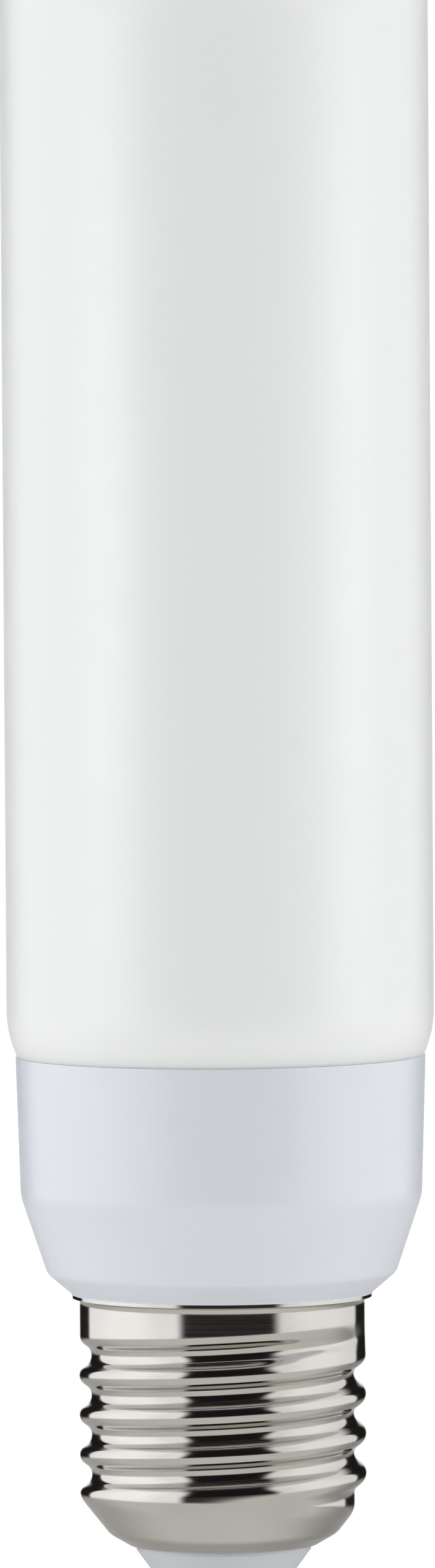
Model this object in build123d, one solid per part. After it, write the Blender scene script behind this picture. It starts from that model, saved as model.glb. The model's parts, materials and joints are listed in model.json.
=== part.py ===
from build123d import *
import os
from math import asin, atan2, cos, degrees, radians, sin, sqrt, tan

# Tubular opal lamp on an E27 screw cap, in millimetres.
# +Z runs along the lamp's axis, from the cap to the closed end of the tube. The origin is the middle of the
# centre contact's outer face. Every piece is turned about Z, apart from the thread rolled into the cap.

# Opal tube: a plain cylinder with a softly domed end, a rounded shoulder and a skirt inside the housing
overall_length = 156.0
tube_d = 39.0
tube_wall = 1.5
crown_rise = 5.5
crown_corner = 10.0
shoulder_radius = 9.6
shoulder_angle = 25.5
skirt_depth = 6.0
skirt_wall = 1.3
skirt_gap = 0.1

# Base housing: a moulded cup with a drafted band, a cone, a steep bevel and a spigot inside the cap
housing_height = 21.78
housing_wall = 1.6
rim_step = 0.15
rim_edge = 0.12
band_height = 12.8
band_draft = 1.76
band_rounding = 4.0
bevel_width = 2.18
bevel_height = 1.85
bevel_rounding = 1.4
land_height = 0.1
land_overhang = 0.06
spigot_length = 14.0
spigot_wall = 1.5
spigot_gap = 0.15

# Screw shell: thin sheet drawn to a cup, with the mouth punched and the E27 thread rolled
cap_height = 27.0
cap_sheet = 0.3
thread_major_d = 26.25
thread_depth = 1.095
thread_pitch = 25.4 / 7
crest_flat = 0.45
thread_turns = 4.28
fade_turns = 0.36
collar_height = 3.77
collar_taper = 0.74
collar_ease = 0.04
flange_width = 0.66
flange_fillet = 0.6
shoulder_height = 8.43
flank_rise = 50.0
knuckle_radius = 2.0
mouth_d = 16.1
mouth_height = 3.54
mouth_rise = 30.0
lip_width = 0.35
lip_radius = 1.5

# Insulator and centre contact: a cone held in the mouth by a flange, and a riveted contact plate
insulator_tip_d = 12.5
insulator_tip_edge = 0.5
insulator_flange = 1.1
insulator_top = 7.0
insulator_gap = 0.08
contact_d = 9.6
contact_height = 1.2
contact_edge = 0.6
stem_d = 3.0
stem_gap = 0.05
rivet_head_d = 5.2
rivet_head_height = 0.7

# Sizes that follow from the ones above
tube_r = tube_d / 2
seam_z = cap_height + housing_height
seam_r = tube_r - shoulder_radius * (1 - cos(radians(shoulder_angle))) + rim_step
bore_r = seam_r - housing_wall
skirt_r = bore_r - skirt_gap
thread_arc = (thread_depth**2 + (thread_pitch / 2) ** 2) / (4 * thread_depth)
major_r = thread_major_d / 2
root_r = major_r - thread_depth
shell_r = major_r - thread_arc + sqrt(thread_arc**2 - (crest_flat / 2) ** 2)
collar_r = shell_r - collar_ease
flange_r = collar_r + flange_width
groove_end_z = cap_height - collar_height
mouth_r = mouth_d / 2
lip_r = mouth_r + lip_width
stem_r = stem_d / 2


def turned(*corners):
    """Solid turned about Z from a closed outline of corners (radius, height, rounding)."""
    points = [(radius, height) for radius, height, _ in corners]
    roundings = [rounding for _, _, rounding in corners]
    outline = FilletPolyline(*points, radius=roundings, close=True)
    return revolve(Plane.XZ * make_face(outline), Axis.Z)


def domed(inset, lower):
    """Solid turned about Z: the tube's domed end brought in by inset, closed below by the lower outline."""
    crown = (tube_r**2 + crown_rise**2) / (2 * crown_rise) - inset
    radius = tube_r - inset
    top = Vector(0, overall_length - inset)
    centre = top - Vector(0, crown)
    edge = centre + Vector(radius, sqrt(crown**2 - radius**2))
    between = centre + ((top + edge) / 2 - centre).normalized() * crown
    wall = Line(edge, lower[0] @ 0)
    section = make_face([ThreePointArc(top, between, edge), wall, *lower, Line(lower[-1] @ 1, top)])
    corner = section.vertices().sort_by_distance(edge)[0]
    return revolve(Plane.XZ * fillet(corner, crown_corner - inset), Axis.Z)


def opal_tube():
    """One moulded envelope: the shoulder sits on the housing's rim and the skirt fills its mouth."""
    shoulder_z = seam_z + shoulder_radius * sin(radians(shoulder_angle))
    skirt_z = seam_z - skirt_depth
    skirt_bore = skirt_r - skirt_wall
    shoulder = JernArc((tube_r, shoulder_z), (0, -1), shoulder_radius, -shoulder_angle)
    skirt = Polyline(shoulder @ 1, (skirt_r, seam_z), (skirt_r, skirt_z), (0, skirt_z))
    mouth = Polyline(
        (tube_r - tube_wall, shoulder_z),
        (skirt_bore, seam_z),
        (skirt_bore, skirt_z - tube_wall),
        (0, skirt_z - tube_wall),
    )
    return domed(0, [shoulder, skirt]) - domed(tube_wall, [mouth])


def base_housing():
    """One moulded cup, open at the top for the tube's skirt, with the hollow spigot that carries the cap."""
    band_z = seam_z - band_height
    band_r = seam_r - band_height * tan(radians(band_draft))
    land_r = flange_r + land_overhang
    land_z = cap_height + land_height
    bevel_r = land_r + bevel_width
    bevel_z = land_z + bevel_height
    spigot_r = root_r - cap_sheet - spigot_gap
    spigot_bore = spigot_r - spigot_wall
    spigot_z = cap_height - spigot_length
    return turned(
        (spigot_bore, spigot_z, 0),
        (spigot_r, spigot_z, 0),
        (spigot_r, cap_height, 0),
        (land_r, cap_height, 0),
        (land_r, land_z, land_height / 2),
        (bevel_r, bevel_z, bevel_rounding),
        (band_r, band_z, band_rounding),
        (seam_r, seam_z, rim_edge),
        (bore_r, seam_z, 0),
        (bore_r, band_z, 0),
        (bevel_r - housing_wall, bevel_z, 0),
        (spigot_bore, cap_height + housing_wall, 0),
    )


def cap_cup(inset):
    """The cap drawn as a plain closed cup: its outside at inset 0, its hollow at inset cap_sheet."""
    radius = shell_r - inset
    rim_z = cap_height - cap_sheet + inset
    base_z = mouth_height + inset
    flank_slope = tan(radians(flank_rise))
    mouth_slope = tan(radians(mouth_rise))
    flank_foot = shoulder_height + inset * tan(radians((90 - flank_rise) / 2)) - radius * flank_slope
    mouth_foot = mouth_height + inset / cos(radians(mouth_rise)) - lip_r * mouth_slope
    knuckle_r = (mouth_foot - flank_foot) / (flank_slope - mouth_slope)
    return turned(
        (0, base_z, 0),
        ((base_z - mouth_foot) / mouth_slope, base_z, lip_radius - inset),
        (knuckle_r, mouth_foot + knuckle_r * mouth_slope, knuckle_radius - inset),
        (radius, flank_foot + radius * flank_slope, thread_arc - inset),
        (radius, groove_end_z, 0),
        (radius - collar_ease, groove_end_z + collar_taper, 0),
        (radius - collar_ease, rim_z, flange_fillet + inset),
        (flange_r + inset, rim_z, 0),
        (flange_r + inset, cap_height + inset, 0),
        (0, cap_height + inset, 0),
    )


def groove_section(inset):
    """Thread groove from crest to crest in the XZ plane: a root arc between two tangent crest arcs."""
    root_centre = Vector(root_r + thread_arc, 0)
    crest_centre = Vector(major_r - thread_arc, thread_pitch / 2)
    crest_radius = thread_arc - inset
    to_crest = (crest_centre - root_centre).normalized()
    bend = root_centre + to_crest * (thread_arc + inset)
    bend_angle = degrees(atan2(-to_crest.Y, -to_crest.X))
    end_angle = -degrees(asin(crest_flat / 2 / thread_arc)) / 2
    middle = crest_centre + Vector(crest_radius, 0).rotate(Axis.Z, (bend_angle + end_angle) / 2)
    end = crest_centre + Vector(crest_radius, 0).rotate(Axis.Z, end_angle)
    clear = Vector(major_r + thread_depth, end.Y)
    upper = [
        ThreePointArc(bend, middle, end),
        Line(end, clear),
        Line(clear, (clear.X, 0)),
    ]
    lower = [edge.mirror(Plane.XZ) for edge in upper]
    root = ThreePointArc(bend, (root_r - inset, 0), (bend.X, -bend.Y))
    return Plane.XZ * make_face([root, *upper, *lower])


def thread_groove(inset):
    """Right-hand groove that sinks into the sheet above the flank and climbs out of it again under the collar."""
    section = groove_section(inset)
    fade_rise = fade_turns * thread_pitch
    full_turns = thread_turns - 2 * fade_turns
    full_rise = full_turns * thread_pitch
    climb = degrees(atan2(thread_depth + cap_sheet / 2, fade_rise))
    outward = Helix(thread_pitch / cos(radians(climb)), fade_rise, root_r, cone_angle=climb)
    fading = sweep(section, path=outward, is_frenet=True)
    full = sweep(section, path=Helix(thread_pitch, full_rise, root_r), is_frenet=True)
    upper = Pos(0, 0, groove_end_z - fade_rise) * Rot(0, 0, -360 * fade_turns)
    lower = upper * Pos(0, 0, -full_rise) * Rot(0, 0, -360 * full_turns)
    return [lower * full, upper * fading, lower * Rot(180, 0, 0) * fading]


def screw_shell():
    """Threaded sheet cap: the rolled cup less its rolled hollow, with the mouth punched out."""
    outside = cap_cup(0) - thread_groove(0)
    hollow = cap_cup(cap_sheet) - thread_groove(cap_sheet)
    punch = Pos(0, 0, mouth_height) * Cylinder(mouth_r, mouth_height)
    return outside - hollow - punch


def insulator():
    """Cone that fills the cap's mouth, with a flange that lies on the inside of the sheet."""
    mouth_slope = tan(radians(mouth_rise))
    plug_r = mouth_r - insulator_gap
    flange_edge = mouth_r + insulator_flange
    seat_z = mouth_height + cap_sheet / cos(radians(mouth_rise)) + insulator_gap
    stem_hole = stem_r + stem_gap
    return turned(
        (stem_hole, contact_height, 0),
        (insulator_tip_d / 2, contact_height, insulator_tip_edge),
        (plug_r, mouth_height, 0),
        (plug_r, seat_z, 0),
        (lip_r, seat_z, 0),
        (flange_edge, seat_z + (flange_edge - lip_r) * mouth_slope, 0),
        (flange_edge, insulator_top, 0),
        (stem_hole, insulator_top, 0),
    )


def centre_contact():
    """Contact plate with a stem through the insulator and a rivet head on its inside."""
    head_r = rivet_head_d / 2
    head_z = insulator_top + rivet_head_height
    return turned(
        (0, 0, 0),
        (contact_d / 2, 0, contact_edge),
        (contact_d / 2, contact_height, 0),
        (stem_r, contact_height, 0),
        (stem_r, insulator_top, 0),
        (head_r, insulator_top, 0),
        (head_r, head_z, rivet_head_height / 2),
        (0, head_z, 0),
    )


pieces = [opal_tube, base_housing, screw_shell, insulator, centre_contact]

os.makedirs("parts", exist_ok=True)
for piece in pieces:
    export_step(piece(), f"parts/{piece.__name__}.step")
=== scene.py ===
import json
from math import asin, atan2, ceil, cos, degrees, hypot, pi, radians, sin, sqrt, tan

import bpy
from mathutils import Matrix, Vector


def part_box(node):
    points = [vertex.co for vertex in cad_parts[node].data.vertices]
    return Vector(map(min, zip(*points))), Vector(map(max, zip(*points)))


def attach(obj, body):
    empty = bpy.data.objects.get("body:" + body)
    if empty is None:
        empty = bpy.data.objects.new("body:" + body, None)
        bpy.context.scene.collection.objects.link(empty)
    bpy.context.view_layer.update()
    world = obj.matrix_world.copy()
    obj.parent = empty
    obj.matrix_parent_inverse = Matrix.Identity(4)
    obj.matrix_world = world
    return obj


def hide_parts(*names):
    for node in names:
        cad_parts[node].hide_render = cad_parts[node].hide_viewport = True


# Tubular opal lamp on an E27 screw cap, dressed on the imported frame.
# Sizes of the lamp are in millimetres and are scaled to metres when a mesh is made. +Z is the lamp's axis.

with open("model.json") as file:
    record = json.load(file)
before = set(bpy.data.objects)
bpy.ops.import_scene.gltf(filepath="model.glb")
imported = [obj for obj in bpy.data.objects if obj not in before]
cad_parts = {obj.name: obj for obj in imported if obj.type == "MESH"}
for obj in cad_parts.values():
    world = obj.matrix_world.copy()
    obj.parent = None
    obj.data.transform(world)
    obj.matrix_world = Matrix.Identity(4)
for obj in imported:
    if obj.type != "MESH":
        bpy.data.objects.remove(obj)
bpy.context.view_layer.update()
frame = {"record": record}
mm = 0.001


def reach(node):
    """Outer radius, lowest and highest point of a turned node, in millimetres."""
    low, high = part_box(node)
    return high.x / mm, low.z / mm, high.z / mm


# Sizes that the frame gives
mounts = {mount["name"]: mount["dims"] for mount in frame["record"]["mounts"]}
tube_r, skirt_z, lamp_top = reach("opal_tube")
seam_r, spigot_z, seam_z = reach("base_housing")
flange_r, mouth_height, cap_height = reach("screw_shell")
insulator_r, contact_height, insulator_top = reach("insulator")
contact_r, _, rivet_z = reach("centre_contact")
major_r = mounts["screw_cap"]["r_mm"]
collar_r = mounts["cap_collar"]["r_mm"]

# Opal tube
tube_wall = 1.5
crown_rise = 5.5
crown_corner = 10.0
shoulder_radius = 9.6
shoulder_angle = radians(25.5)
skirt_wall = 1.3
skirt_gap = 0.1
shoulder_edge = 0.03

# Base housing
housing_wall = 1.6
rim_edge = 0.05
band_height = 12.8
band_draft = radians(1.76)
band_rounding = 4.0
bevel_width = 2.18
bevel_height = 1.85
bevel_rounding = 1.4
land_height = 0.1
land_overhang = 0.06
spigot_wall = 1.5
spigot_gap = 0.15

# Screw shell, with its mouth higher than the solid's by mouth_lift, as the photograph shows it
cap_sheet = 0.3
thread_pitch = 25.4 / 7
thread_depth = 1.095
thread_tilt = radians(52)
thread_turns = 4.3
start_turns = 0.32
open_from = 0.7
open_to = 0.35
fade_turns = 0.24
faded_width = 0.5
faded_root = 0.45
round_from = 0.4
flank_blend = 0.55
crest_blend = 0.001
collar_height = 3.81
collar_rounding = 3.0
flange_fillet = 0.6
shoulder_height = 8.43
shoulder_rounding = 1.0
flank_rise = radians(51.5)
knuckle_radius = 2.4
mouth_r = 8.05
mouth_rise = radians(30)
mouth_lift = 0.33
lip_width = 0.35
lip_radius = 1.5

# Insulator and centre contact
insulator_tip_r = 6.25
insulator_tip_edge = 0.5
insulator_gap = 0.08
plug_edge = 0.08
contact_edge = 0.6
plate_edge = 0.1
stem_r = 1.5
stem_gap = 0.05
rivet_head_r = 2.6

# Fineness of the meshes: the largest steps along a profile, and the angle from which an edge is sharp
segments = 240
arc_step = radians(6)
arc_least = 2
tube_step = 0.6
housing_step = 0.4
thread_step = 0.095
sheet_step = 0.4
insulator_step = 0.5
contact_step = 0.4
inner_step = 2.0
sharp_angle = radians(40)
on_axis = 1e-6

# Sizes that follow from the ones above
bore_r = seam_r - housing_wall
skirt_r = bore_r - skirt_gap
lip_r = mouth_r + lip_width
mouth_z = mouth_height + mouth_lift
root_r = major_r - thread_depth
thread_arc = (thread_pitch / 2 * tan(thread_tilt) - thread_depth) / (2 / cos(thread_tilt) - 2)
groove_end_z = cap_height - collar_height


def arc(centre, radius, start, end, step):
    """Points (radius, height) along an arc, at most step apart."""
    count = ceil(max(abs(end - start) / arc_step, radius * abs(end - start) / step, arc_least))
    angles = [start + (end - start) * i / count for i in range(count + 1)]
    return [(centre[0] + radius * cos(angle), centre[1] + radius * sin(angle)) for angle in angles]


def outline(*corners, step):
    """Points along corners (radius, height, rounding), at most step apart, with round corners as arcs."""
    path = [corners[0][:2]]
    for before, corner, after in zip(corners, corners[1:], corners[2:]):
        here = Vector(corner[:2])
        back = (Vector(before[:2]) - here).normalized()
        ahead = (Vector(after[:2]) - here).normalized()
        half = back.angle(ahead) / 2
        rounding = corner[2]
        if rounding == 0:
            path.append(tuple(here))
            continue
        centre = here + (back + ahead).normalized() * rounding / sin(half)
        first = here + back * rounding / tan(half) - centre
        last = here + ahead * rounding / tan(half) - centre
        start = Vector((1, 0)).angle_signed(first)
        turn = first.angle_signed(last)
        path += arc(centre, rounding, -start, -start - turn, step)
    path.append(corners[-1][:2])
    return spaced(path, step)


def spaced(path, step):
    """The path with long straight runs divided into pieces of at most step."""
    points = [path[0]]
    for start, end in zip(path, path[1:]):
        run = Vector(end) - Vector(start)
        count = max(ceil(run.length / step), 1)
        points += [tuple(Vector(start) + run * (i + 1) / count) for i in range(count)]
    return points


def turned(name, profile, radius_at=None):
    """Closed mesh turned about Z from a profile of (radius, height), which radius_at may vary by angle."""
    points, rings = [], []
    for place, (radius, height) in enumerate(profile):
        first = len(points)
        if radius < on_axis:
            points.append((0, 0, height * mm))
            rings.append([first] * segments)
            continue
        for i in range(segments):
            angle = 2 * pi * i / segments
            out = radius_at(place, angle) if radius_at else radius
            points.append((out * cos(angle) * mm, out * sin(angle) * mm, height * mm))
        rings.append(list(range(first, first + segments)))
    faces = []
    for lower, upper in zip(rings, rings[1:] + rings[:1]):
        for i in range(segments):
            corners = [lower[i], lower[i - 1], upper[i - 1], upper[i]]
            face = [corner for at, corner in enumerate(corners) if corner != corners[at - 1]]
            if len(face) > 2:
                faces.append(face)
    mesh = bpy.data.meshes.new(name)
    mesh.from_pydata(points, [], faces)
    mesh.validate()
    mesh.shade_smooth()
    mesh.set_sharp_from_angle(angle=sharp_angle)
    piece = bpy.data.objects.new(name, mesh)
    bpy.context.scene.collection.objects.link(piece)
    return piece


def dome(inset, step):
    """Profile of the tube's closed end and wall, brought in by inset, from the axis down to the shoulder."""
    crown = (tube_r**2 + crown_rise**2) / (2 * crown_rise)
    crown_z = lamp_top - crown
    corner_r = tube_r - crown_corner
    lean = sqrt((crown - crown_corner) ** 2 - corner_r**2)
    bend = Vector((1, 0)).angle(Vector((corner_r, lean)))
    cap = arc((0, crown_z), crown - inset, pi / 2, bend, step)
    corner = arc((corner_r, crown_z + lean), crown_corner - inset, bend, 0, step)
    return [(0, lamp_top - inset), *cap[1:], *corner[1:]]


def opal_tube():
    """Moulded envelope: a domed tube whose shoulder sits on the housing's rim, with a skirt inside it."""
    shoulder_z = seam_z + shoulder_radius * sin(shoulder_angle)
    skirt_bore = skirt_r - skirt_wall
    shoulder = arc((tube_r - shoulder_radius, shoulder_z), shoulder_radius, 0, -shoulder_angle, tube_step)
    seat = outline(
        shoulder[-2],
        (*shoulder[-1], shoulder_edge),
        (skirt_r, seam_z, 0),
        (skirt_r, skirt_z),
        step=tube_step,
    )
    outside = spaced([*dome(0, tube_step), *shoulder[:-1]], tube_step) + seat[1:]
    mouth = [(skirt_bore, skirt_z), (skirt_bore, seam_z), (tube_r - tube_wall, shoulder_z)]
    inside = spaced([*mouth, *reversed(dome(tube_wall, inner_step))], inner_step)
    return turned("opal_tube_shell", outside + inside)


def base_housing():
    """Moulded cup with a drafted band, a cone, a steep bevel and the spigot inside the cap."""
    band_z = seam_z - band_height
    band_r = seam_r - band_height * tan(band_draft)
    land_r = flange_r + land_overhang
    land_z = cap_height + land_height
    bevel_r = land_r + bevel_width
    bevel_z = land_z + bevel_height
    spigot_r = root_r - cap_sheet - spigot_gap
    spigot_bore = spigot_r - spigot_wall
    outside = outline(
        (spigot_r, spigot_z, 0),
        (spigot_r, cap_height, 0),
        (land_r, cap_height, land_height / 2),
        (land_r, land_z, land_height / 2),
        (bevel_r, bevel_z, bevel_rounding),
        (band_r, band_z, band_rounding),
        (seam_r, seam_z, rim_edge),
        (bore_r, seam_z, 0),
        step=housing_step,
    )
    inside = outline(
        (bore_r, band_z, 0),
        (bevel_r - housing_wall, bevel_z, 0),
        (spigot_bore, cap_height + housing_wall, 0),
        (spigot_bore, spigot_z, 0),
        step=inner_step,
    )
    return turned("base_housing_cup", outside + inside)


def cup_side(inset, step):
    """Profile of the drawn cup from its mouth to its flange, brought in by inset."""
    crest_r = major_r - inset
    rim_z = cap_height - cap_sheet + inset
    flank_slope = tan(flank_rise)
    mouth_slope = tan(mouth_rise)
    flank_foot = shoulder_height + inset * tan((pi / 2 - flank_rise) / 2) - crest_r * flank_slope
    mouth_foot = mouth_z + inset / cos(mouth_rise) - lip_r * mouth_slope
    base_z = mouth_z + inset
    knuckle_r = (mouth_foot - flank_foot) / (flank_slope - mouth_slope)
    return outline(
        (mouth_r, base_z, 0),
        ((base_z - mouth_foot) / mouth_slope, base_z, lip_radius - inset),
        (knuckle_r, mouth_foot + knuckle_r * mouth_slope, knuckle_radius - inset),
        (crest_r, flank_foot + crest_r * flank_slope, shoulder_rounding),
        (crest_r, groove_end_z - thread_pitch / 2, collar_rounding),
        (collar_r - inset, groove_end_z, collar_rounding),
        (collar_r - inset, rim_z, flange_fillet + inset),
        (flange_r, rim_z, 0),
        step=step,
    )


def ease(low, high, value):
    """0 up to low, 1 from high on, and a smooth step between them."""
    share = min(max((value - low) / (high - low), 0), 1)
    return share * share * (3 - 2 * share)


def thread(angle, height):
    """Depth of the rolled thread, round at roots and crests; it starts on the flank and fades out at +X."""
    ahead = 1 - angle / (2 * pi)
    turns = (groove_end_z - height) / thread_pitch - ahead
    nearest = round(turns)
    if ahead + nearest > thread_turns:
        nearest -= 1
    left = ahead + nearest
    along = (turns - nearest) * thread_pitch
    faded_reach = thread_pitch / 2
    if along > 0:
        along *= 1 - ease(thread_turns - open_from, thread_turns - open_to, left)
        faded_reach *= faded_width
    away = min(abs(along), thread_pitch / 2)
    near = min(away, thread_pitch / 2 - away)
    bent = min(near, thread_arc * sin(thread_tilt))
    sag = thread_arc - sqrt(thread_arc**2 - bent**2) + (near - bent) * tan(thread_tilt)
    rolled = thread_depth - sag if away < thread_pitch / 4 else sag
    rise = hypot(away, faded_root) - faded_root
    full_rise = hypot(faded_reach, faded_root) - faded_root
    faded = thread_depth * (1 - min(rise / full_rise, 1)) ** 2
    sunk = ease(0, fade_turns, left)
    depth = faded + (rolled - faded) * ease(round_from, 1, sunk)
    return depth * sunk * ease(0, start_turns, thread_turns - left)


def softer(one, other, blend):
    """The smaller of two radii, with the corner between them rounded over blend."""
    near = max(blend - abs(one - other), 0) / blend
    return min(one, other) - near * near * blend / 4


def screw_shell():
    """Cap of thin sheet: a drawn cup with the thread rolled into its wall, outside and inside."""
    outside = cup_side(0, thread_step)
    inside = cup_side(cap_sheet, sheet_step)[::-1]
    profile = outside + inside

    def radius_at(place, angle):
        radius, height = profile[place]
        inset = 0 if place < len(outside) else cap_sheet
        if height > shoulder_height + shoulder_rounding:
            return radius - thread(angle, height)
        risen = ease(shoulder_height - flank_blend, shoulder_height + flank_blend, height)
        blend = flank_blend * (1 - risen) + crest_blend
        return softer(radius, major_r - inset - thread(angle, height), blend)

    return turned("screw_shell_sheet", profile, radius_at)


def insulator():
    """Cone in the cap's mouth, with a flange on the inside of the sheet."""
    plug_r = mouth_r - insulator_gap
    mouth_slope = tan(mouth_rise)
    seat_z = mouth_z + cap_sheet / cos(mouth_rise) + insulator_gap
    hole_r = stem_r + stem_gap
    profile = outline(
        (hole_r, contact_height, 0),
        (insulator_tip_r, contact_height, insulator_tip_edge),
        (plug_r, mouth_height, plug_edge),
        (plug_r, seat_z, 0),
        (lip_r, seat_z, 0),
        (insulator_r, seat_z + (insulator_r - lip_r) * mouth_slope, 0),
        (insulator_r, insulator_top, 0),
        (hole_r, insulator_top, 0),
        step=insulator_step,
    )
    return turned("insulator_cone", profile)


def centre_contact():
    """Contact plate with a stem through the insulator and a rivet head inside."""
    profile = outline(
        (0, 0, 0),
        (contact_r, 0, contact_edge),
        (contact_r, contact_height, plate_edge),
        (stem_r, contact_height, 0),
        (stem_r, insulator_top, 0),
        (rivet_head_r, insulator_top, 0),
        (rivet_head_r, rivet_z, (rivet_z - insulator_top) / 2),
        (0, rivet_z, 0),
        step=contact_step,
    )
    return turned("centre_contact_plate", profile)


# Materials, with the range of the noise over which they go from one end to the other

noise_low = 0.3
noise_high = 0.7


def material(name, **sockets):
    """Principled material with the given sockets set; returns it with its node tree and shader."""
    made = bpy.data.materials.new(name)
    made.use_nodes = True
    tree = made.node_tree
    shader = tree.nodes["Principled BSDF"]
    for socket, value in sockets.items():
        shader.inputs[socket.replace("_", " ")].default_value = value
    return made, tree, shader


def noise(tree, stretch, detail=2.0):
    """Noise over the object, with stretch giving its features per metre along X, Y and Z."""
    place = tree.nodes.new("ShaderNodeTexCoord")
    mapping = tree.nodes.new("ShaderNodeMapping")
    mapping.inputs["Scale"].default_value = stretch
    texture = tree.nodes.new("ShaderNodeTexNoise")
    texture.inputs["Scale"].default_value = 1.0
    texture.inputs["Detail"].default_value = detail
    tree.links.new(place.outputs["Object"], mapping.inputs["Vector"])
    tree.links.new(mapping.outputs["Vector"], texture.inputs["Vector"])
    return texture.outputs["Fac"]


def tint(tree, shader, factor, dark, light):
    """Base colour that wanders between dark and light with the factor."""
    ramp = tree.nodes.new("ShaderNodeValToRGB")
    ramp.color_ramp.elements[0].position = noise_low
    ramp.color_ramp.elements[0].color = (*dark, 1)
    ramp.color_ramp.elements[1].position = noise_high
    ramp.color_ramp.elements[1].color = (*light, 1)
    tree.links.new(factor, ramp.inputs["Fac"])
    tree.links.new(ramp.outputs["Color"], shader.inputs["Base Color"])


def gloss(tree, shader, factor, low, high):
    """Roughness that wanders between low and high with the factor."""
    spread = tree.nodes.new("ShaderNodeMapRange")
    spread.inputs["From Min"].default_value = noise_low
    spread.inputs["From Max"].default_value = noise_high
    spread.inputs["To Min"].default_value = low
    spread.inputs["To Max"].default_value = high
    tree.links.new(factor, spread.inputs["Value"])
    tree.links.new(spread.outputs["Result"], shader.inputs["Roughness"])


def grain(tree, shader, factor, depth):
    """Surface relief of the given depth in metres."""
    bump = tree.nodes.new("ShaderNodeBump")
    bump.inputs["Distance"].default_value = depth
    tree.links.new(factor, bump.inputs["Height"])
    tree.links.new(bump.outputs["Normal"], shader.inputs["Normal"])


def opal():
    """Satin opal plastic: light goes into the wall and comes out again nearby."""
    made, tree, shader = material("opal", IOR=1.42, Subsurface_Weight=0.45, Subsurface_Scale=0.004)
    shader.inputs["Subsurface Radius"].default_value = (1.0, 0.95, 0.9)
    tint(tree, shader, noise(tree, (90, 90, 60)), dark=(0.836, 0.844, 0.841), light=(0.846, 0.854, 0.85))
    gloss(tree, shader, noise(tree, (500, 500, 300)), low=0.3, high=0.36)
    grain(tree, shader, noise(tree, (2500, 2500, 2500), detail=4.0), depth=0.000006)
    return made


def housing_plastic():
    """Cool white moulded plastic with a faint sheen."""
    made, tree, shader = material(
        "housing_plastic",
        IOR=1.5,
        Specular_IOR_Level=1.0,
        Subsurface_Weight=0.1,
        Subsurface_Scale=0.001,
    )
    tint(tree, shader, noise(tree, (120, 120, 120)), dark=(0.683, 0.713, 0.768), light=(0.696, 0.726, 0.778))
    gloss(tree, shader, noise(tree, (700, 700, 700)), low=0.3, high=0.36)
    grain(tree, shader, noise(tree, (4000, 4000, 4000), detail=4.0), depth=0.000002)
    return made


def nickel_plate():
    """Bright nickel on drawn sheet: faint rings from the drawing, and a slightly warm tone."""
    made, tree, shader = material("nickel_plate", Metallic=1.0)
    cloud = noise(tree, (150, 150, 250), detail=3.0)
    tint(tree, shader, cloud, dark=(0.53, 0.512, 0.482), light=(0.57, 0.552, 0.52))
    gloss(tree, shader, noise(tree, (60, 60, 5000), detail=3.0), low=0.08, high=0.12)
    grain(tree, shader, noise(tree, (40, 40, 2600), detail=2.0), depth=0.000003)
    return made


def insulator_plastic():
    """Smooth pale moulded plastic."""
    made, tree, shader = material("insulator_plastic", IOR=1.5)
    tint(tree, shader, noise(tree, (200, 200, 200)), dark=(0.515, 0.532, 0.554), light=(0.538, 0.555, 0.577))
    gloss(tree, shader, noise(tree, (900, 900, 900)), low=0.32, high=0.42)
    grain(tree, shader, noise(tree, (3000, 3000, 3000), detail=3.0), depth=0.00001)
    return made


def contact_metal():
    """Plated contact, dulled by handling."""
    made, tree, shader = material("contact_metal", Metallic=1.0)
    cloud = noise(tree, (400, 400, 400), detail=4.0)
    tint(tree, shader, cloud, dark=(0.6, 0.57, 0.52), light=(0.72, 0.7, 0.66))
    gloss(tree, shader, noise(tree, (900, 900, 900), detail=4.0), low=0.22, high=0.38)
    grain(tree, shader, noise(tree, (1500, 1500, 1500), detail=4.0), depth=0.00001)
    return made


# Stage: a pale floor, and a tent of soft light that only the lamp sees

tent_r = 3.0
tent_rows = 90
tent_reach = 0.999
floor_r = 0.9
floor_sides = 96
floor_tone = 0.9
floor_glow = 0.5
gloss_light = {
    "left": Vector((1.53, 1.54, 1.57)),
    "right": Vector((1.3, 1.305, 1.3)),
    "rear": 0.85,
    "shade": Vector((0.014, 0.013, 0.012)),
    "top": Vector((0.08, 0.08, 0.077)),
    "ground": Vector((0.79, 0.78, 0.757)),
    "far": 0.45,
    "horizon": -14.0,
}
fill_light = {
    "left": Vector((1.57, 1.57, 1.57)),
    "right": Vector((1.65, 1.65, 1.65)),
    "rear": 0.0,
    "shade": Vector((0.64, 0.64, 0.64)),
    "top": Vector((0.64, 0.64, 0.64)),
    "ground": Vector((0.86, 0.855, 0.845)),
    "far": 0.85,
    "horizon": -40.0,
}

# Where the tent's light changes, in degrees, mostly as bands (from, to)
slot_left = 34.0
slot_right = 45.0
slot_left_top = 21.0
slot_right_top = 17.0
slot_left_blur = 4.0
slot_right_blur = 5.0
slot_back = (117.0, 129.0)
slot_under = (268.0, 272.0)
corner_near = (134.0, 138.0)
corner_far = (164.0, 172.0)
corner_top = (26.0, 38.0)
wall_near = (48.0, 75.0)
wall_rear = (95.0, 134.0)
wall_top = (44.0, 58.0)
shade_top = (56.0, 70.0)
roof = (66.0, 74.0)
horizon_blur = 9.0

# Shares of a softbox at its near edge and under the roof, and of the ground's fall-off behind the lamp
wall_near_share = 0.85
wall_top_loss = 0.42
back_reach = 0.8
back_share = 0.8
back_lean = 0.3

# Lights for the tube alone, and the background
strip_r = 0.3
strip_width = 0.15
strip_low = 0.035
strip_high = 0.135
front_power = 0.1
front_spread = radians(90)
white = 1.05


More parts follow.
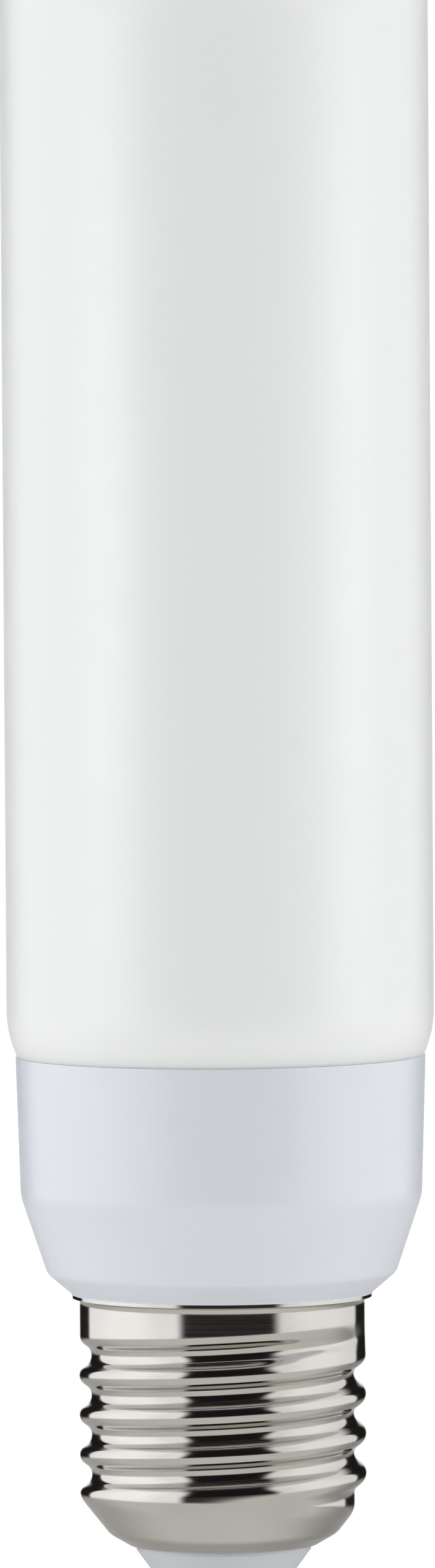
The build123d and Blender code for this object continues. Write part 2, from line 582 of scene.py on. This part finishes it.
def staged(name, points, faces, finish, seen_by):
    """Mesh of the stage, seen only by the given kinds of ray."""
    mesh = bpy.data.meshes.new(name)
    mesh.from_pydata(points, [], faces)
    mesh.materials.append(finish)
    piece = bpy.data.objects.new(name, mesh)
    bpy.context.scene.collection.objects.link(piece)
    piece.visible_camera = "camera" in seen_by
    piece.visible_diffuse = "diffuse" in seen_by
    piece.visible_transmission = "diffuse" in seen_by
    piece.visible_glossy = "glossy" in seen_by
    piece.visible_shadow = False
    return piece


def tent_light(way, left, right, rear, shade, top, ground, far, horizon):
    """Light from direction way: a softbox at each side, shade in front, above and behind, ground below."""
    around = abs(degrees(atan2(way.x, -way.y)))
    sideways = degrees(asin(way.x))
    rise = degrees(asin(way.z))
    over = degrees(atan2(way.z, -way.y)) % 360
    overhead = over / 90 if over < 180 else 0
    edge_left = slot_left + (slot_left_top - slot_left) * overhead
    edge_right = slot_right + (slot_right_top - slot_right) * overhead
    slot = ease(-edge_left - slot_left_blur, -edge_left + slot_left_blur, sideways)
    slot *= 1 - ease(edge_right - slot_right_blur, edge_right + slot_right_blur, sideways)
    slot *= 1 - ease(*slot_back, over) * (1 - ease(*slot_under, over))
    corner = ease(*corner_near, around) * (1 - ease(*corner_far, around)) * (1 - ease(*corner_top, rise))
    level = wall_near_share + (1 - wall_near_share) * ease(*wall_near, around)
    level -= (1 - rear) * ease(*wall_rear, around)
    level *= 1 - wall_top_loss * ease(*wall_top, rise)
    wall = (left if way.x < 0 else right) * level
    dark = shade.lerp(top, ease(*shade_top, rise))
    light = wall.lerp(dark, max(slot, corner, ease(*roof, rise)))
    behind = ease(0, back_reach, way.y) * (back_share + back_lean * way.x)
    return ground.lerp(ground * far, behind).lerp(light, ease(horizon, horizon + horizon_blur, rise))


def tent(name, seen_by, levels):
    """Sphere round the lamp that shines as tent_light says."""
    points, faces, light = [], [], []
    columns = 2 * tent_rows
    for row in range(tent_rows + 1):
        rise = pi * (row / tent_rows - 0.5) * tent_reach
        for column in range(columns):
            angle = 2 * pi * column / columns
            way = Vector((cos(rise) * cos(angle), cos(rise) * sin(angle), sin(rise)))
            points.append(way * tent_r)
            light += [*tent_light(way, **levels), 1]
    for row in range(tent_rows):
        for column in range(columns):
            here, there = row * columns + column, row * columns + (column + 1) % columns
            faces.append((here, there, there + columns, here + columns))
    glow = bpy.data.materials.new(name)
    glow.use_nodes = True
    glow.cycles.emission_sampling = "NONE"
    tree = glow.node_tree
    tree.nodes.clear()
    colour = tree.nodes.new("ShaderNodeVertexColor")
    colour.layer_name = "light"
    shine = tree.nodes.new("ShaderNodeEmission")
    out = tree.nodes.new("ShaderNodeOutputMaterial")
    tree.links.new(colour.outputs["Color"], shine.inputs["Color"])
    tree.links.new(shine.outputs["Emission"], out.inputs["Surface"])
    piece = staged(name, points, faces, glow, seen_by)
    piece.data.color_attributes.new("light", "FLOAT_COLOR", "POINT").data.foreach_set("color", light)


def strip(name, azimuth, power, lit):
    """Upright strip light for the lit collection, at an azimuth in degrees from the camera towards +X."""
    lamp = bpy.data.lights.new(name, "AREA")
    lamp.shape = "RECTANGLE"
    lamp.size = strip_width
    lamp.size_y = strip_high - strip_low
    lamp.energy = power
    light = bpy.data.objects.new(name, lamp)
    bpy.context.scene.collection.objects.link(light)
    turn = radians(azimuth)
    place = Vector((strip_r * sin(turn), -strip_r * cos(turn), (strip_low + strip_high) / 2))
    facing = Vector((-place.x, -place.y, 0)).to_track_quat("-Z", "Y").to_matrix().to_4x4()
    light.matrix_world = Matrix.Translation(place) @ facing
    light.visible_camera = False
    light.visible_diffuse = False
    light.visible_transmission = False
    light.light_linking.receiver_collection = lit


def front(lit):
    """Broad weak light from the camera's side on the lit collection, the glow that opal passes on."""
    lamp = bpy.data.lights.new("front", "SUN")
    lamp.energy = front_power
    lamp.angle = front_spread
    light = bpy.data.objects.new("front", lamp)
    bpy.context.scene.collection.objects.link(light)
    light.rotation_euler = (radians(90), 0, 0)
    light.visible_camera = False
    light.visible_glossy = False
    light.light_linking.receiver_collection = lit


def floor():
    """Pale sheet under the lamp, bright enough to burn out except close to the lamp."""
    around = [2 * pi * i / floor_sides for i in range(floor_sides)]
    points = [(floor_r * cos(angle), floor_r * sin(angle), 0) for angle in around]
    made, _, shader = material(
        "floor",
        Roughness=1.0,
        Specular_IOR_Level=0.0,
        Emission_Strength=floor_glow,
    )
    shader.inputs["Base Color"].default_value = (floor_tone, floor_tone, floor_tone, 1)
    shader.inputs["Emission Color"].default_value = (1, 1, 1, 1)
    staged("floor", points, [list(range(floor_sides))], made, ("camera",))


tent("tent_gloss", ("glossy",), gloss_light)
tent("tent_fill", ("diffuse",), fill_light)
floor()

scene = bpy.context.scene
world = bpy.data.worlds.new("studio")
scene.world = world
world.use_nodes = True
world.cycles.sampling_method = "NONE"
world.node_tree.nodes["Background"].inputs["Color"].default_value = (1, 1, 1, 1)
world.node_tree.nodes["Background"].inputs["Strength"].default_value = white

strip_lit = bpy.data.collections.new("strip_lit")
strip("strip_left", azimuth=-60, power=0.19, lit=strip_lit)
strip("strip_right", azimuth=74, power=0.15, lit=strip_lit)
front(strip_lit)

# Pieces on their bodies

for make, finish in [
    (opal_tube, opal),
    (base_housing, housing_plastic),
    (screw_shell, nickel_plate),
    (insulator, insulator_plastic),
    (centre_contact, contact_metal),
]:
    piece = make()
    piece.data.materials.append(finish())
    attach(piece, "root")
    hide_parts(make.__name__)
    if make is opal_tube:
        strip_lit.objects.link(piece)

# Camera at the photograph's angle, a long way off, a few degrees above the lamp

camera_place = Vector((0.0, -1.7, 0.1697))
camera_aim = Vector((-0.000106, 0.0, 0.073539))
camera_roll = radians(-0.386)
camera_lens = 428.7
camera_sensor = 36.0

camera = bpy.data.objects.new("camera", bpy.data.cameras.new("camera"))
scene.collection.objects.link(camera)
camera.data.sensor_fit = "VERTICAL"
camera.data.sensor_height = camera_sensor
camera.data.lens = camera_lens
facing = (camera_aim - camera_place).to_track_quat("-Z", "Y").to_matrix()
rolled = facing @ Matrix.Rotation(camera_roll, 3, "Z")
camera.matrix_world = Matrix.Translation(camera_place) @ rolled.to_4x4()
scene.camera = camera

scene.view_settings.view_transform = "Standard"
scene.cycles.use_denoising = True
